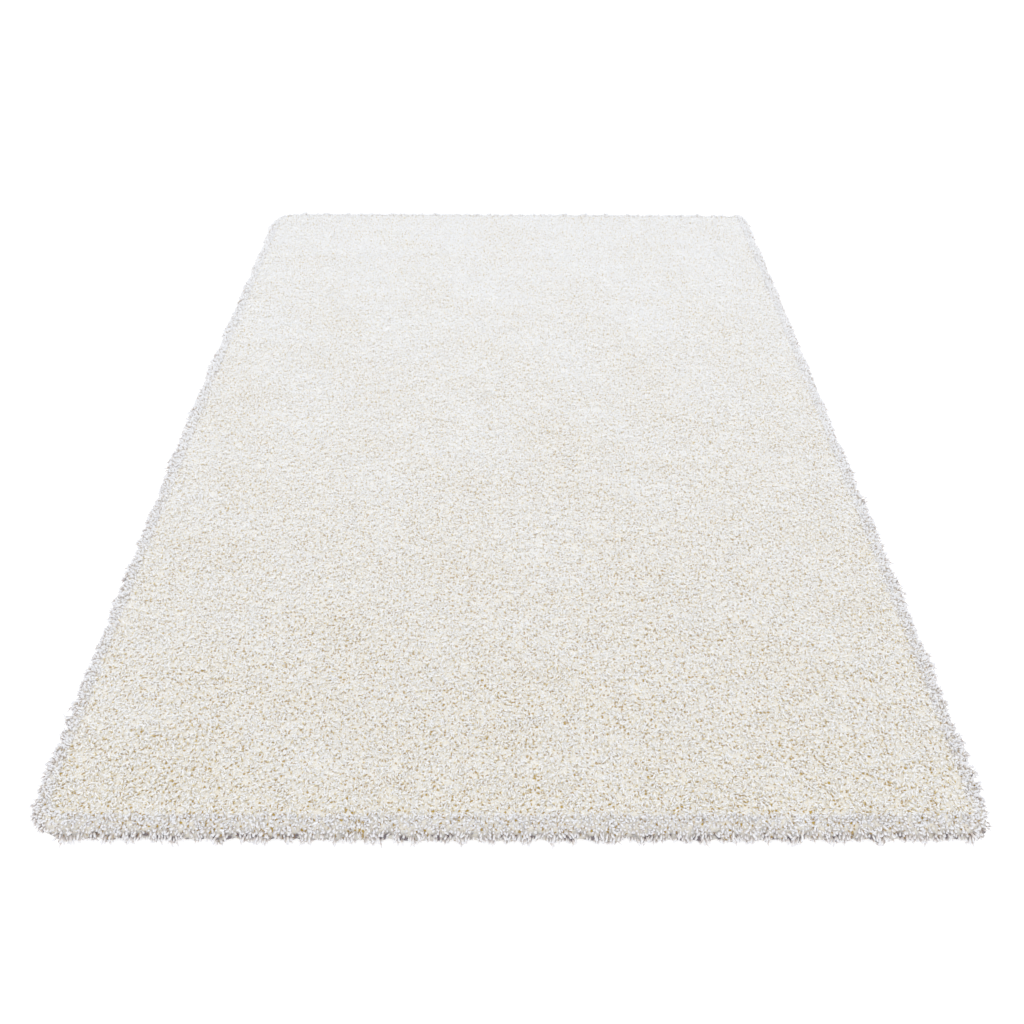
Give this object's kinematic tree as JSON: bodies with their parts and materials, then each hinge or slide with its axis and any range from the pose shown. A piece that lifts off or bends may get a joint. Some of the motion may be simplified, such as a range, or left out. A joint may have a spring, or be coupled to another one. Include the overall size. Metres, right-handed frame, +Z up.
{
  "type": "shag rug",
  "caption": "Rectangular shag rug lying flat: one thick, lumpy slab of cream pile on a flat ground, with yarn locks splayed out all round its rim.",
  "frame": {"origin": "middle of the flat underside, at floor level", "axes": "+X across the rug's width, +Y along its length away from the viewer, +Z up out of the pile"},
  "size_m": [1.676, 2.3728, 0.0464],
  "materials": {
    "pile": "long cut pile of soft matt yarn, cream white with fine tan and brown flecks at its roots",
    "ground": "flat woven ground cloth of natural yarn, seen from below"
  },
  "bodies": {
    "root": {"shag_rug": "pile"}
  },
  "joints": []
}
